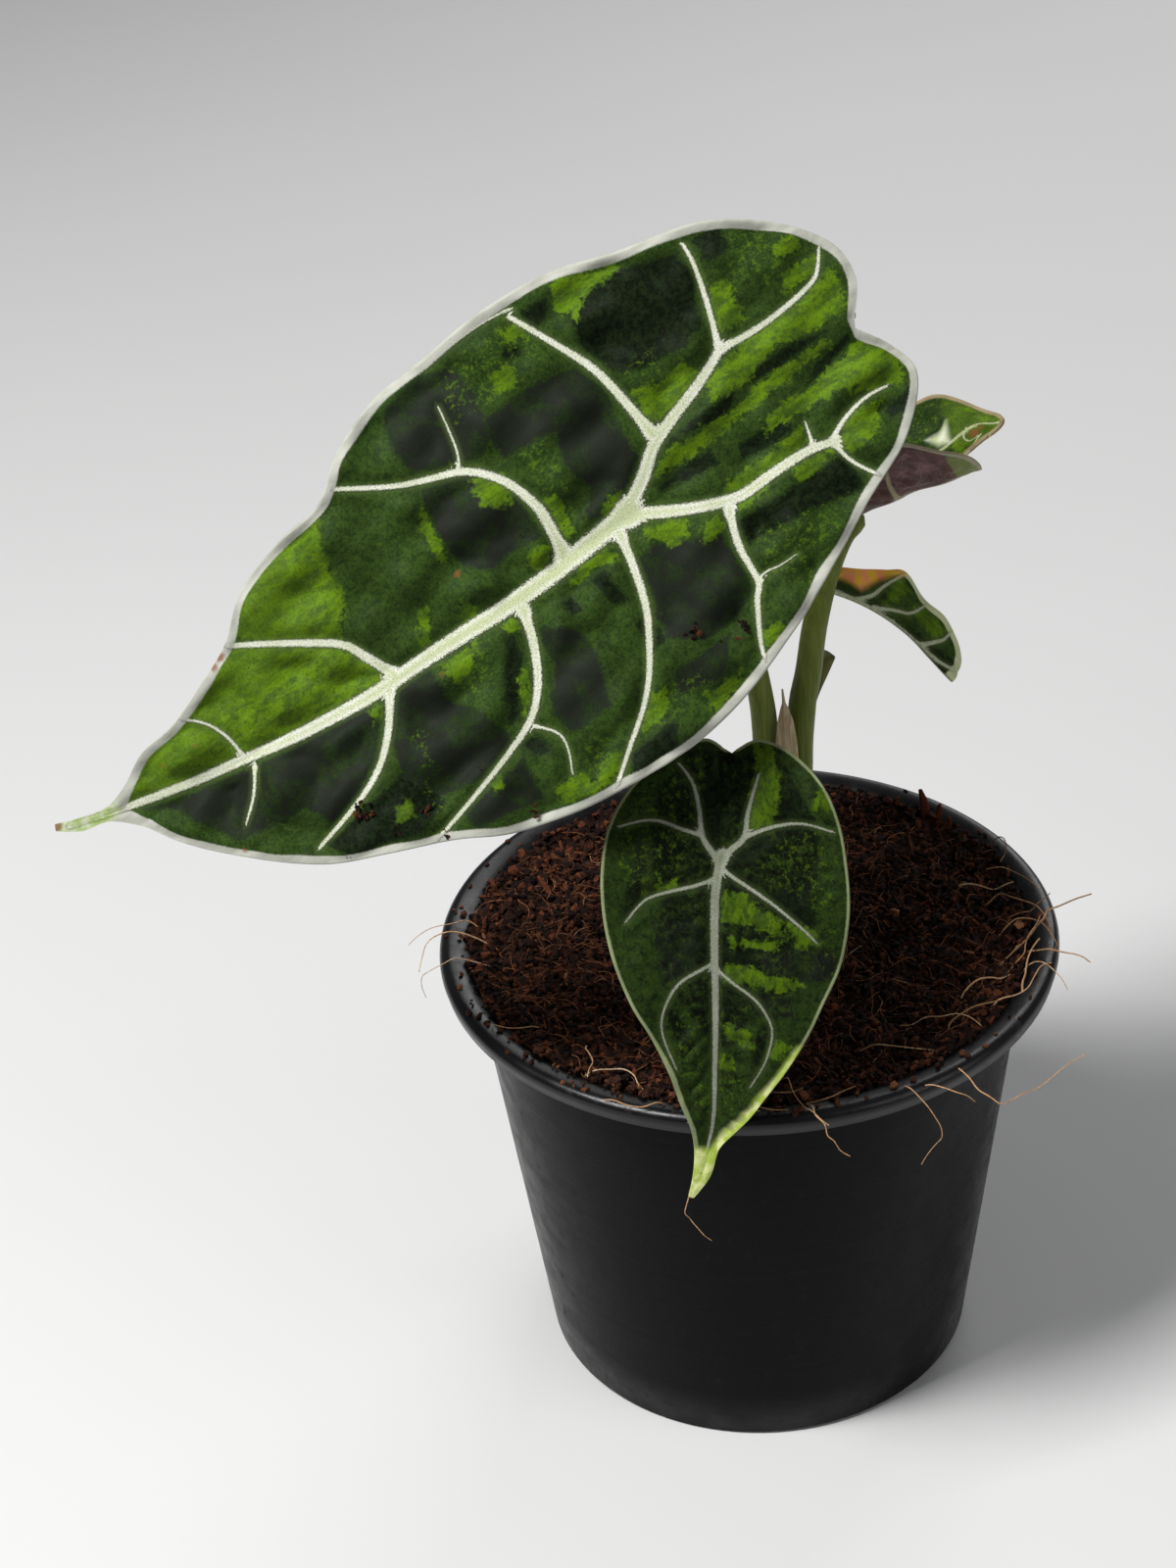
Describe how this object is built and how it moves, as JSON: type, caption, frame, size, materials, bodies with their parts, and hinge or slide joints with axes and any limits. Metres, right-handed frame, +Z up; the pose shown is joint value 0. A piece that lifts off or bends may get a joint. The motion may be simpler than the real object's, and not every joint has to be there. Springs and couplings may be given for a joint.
{
  "type": "potted variegated alocasia watsoniana",
  "caption": "Variegated arrow-leaved aroid in a round nursery pot of coir: large pale-veined blades on slender petioles.",
  "frame": {"origin": "middle of the pot's underside, on the surface it stands on", "axes": "+Z up along the pot's axis, +Y away from the side the largest leaf faces, +X to that side's right"},
  "size_m": [0.2208, 0.1482, 0.2799],
  "materials": {
    "pot": "satin black",
    "mix": "moist coir, rough",
    "crown": "matte plant tissue",
    "petiole": "satin plant tissue",
    "big_blade": "satin leaf, pale veins",
    "small_blade": "satin leaf, pale veins",
    "curled_blade": "satin leaf, purple underside",
    "drooping_blade": "satin leaf, pale veins",
    "cataphyll": "dry, papery"
  },
  "bodies": {
    "root": {"nursery_pot": "pot", "potting_mix": "mix", "crown": "crown", "big_leaf_petiole": "petiole", "big_leaf_blade": "big_blade", "small_leaf_petiole": "petiole", "small_leaf_blade": "small_blade", "curled_leaf_petiole": "petiole", "curled_leaf_blade": "curled_blade", "drooping_leaf_petiole": "petiole", "drooping_leaf_blade": "drooping_blade", "cataphyll": "cataphyll", "cut_petiole_stub": "crown"}
  },
  "joints": []
}
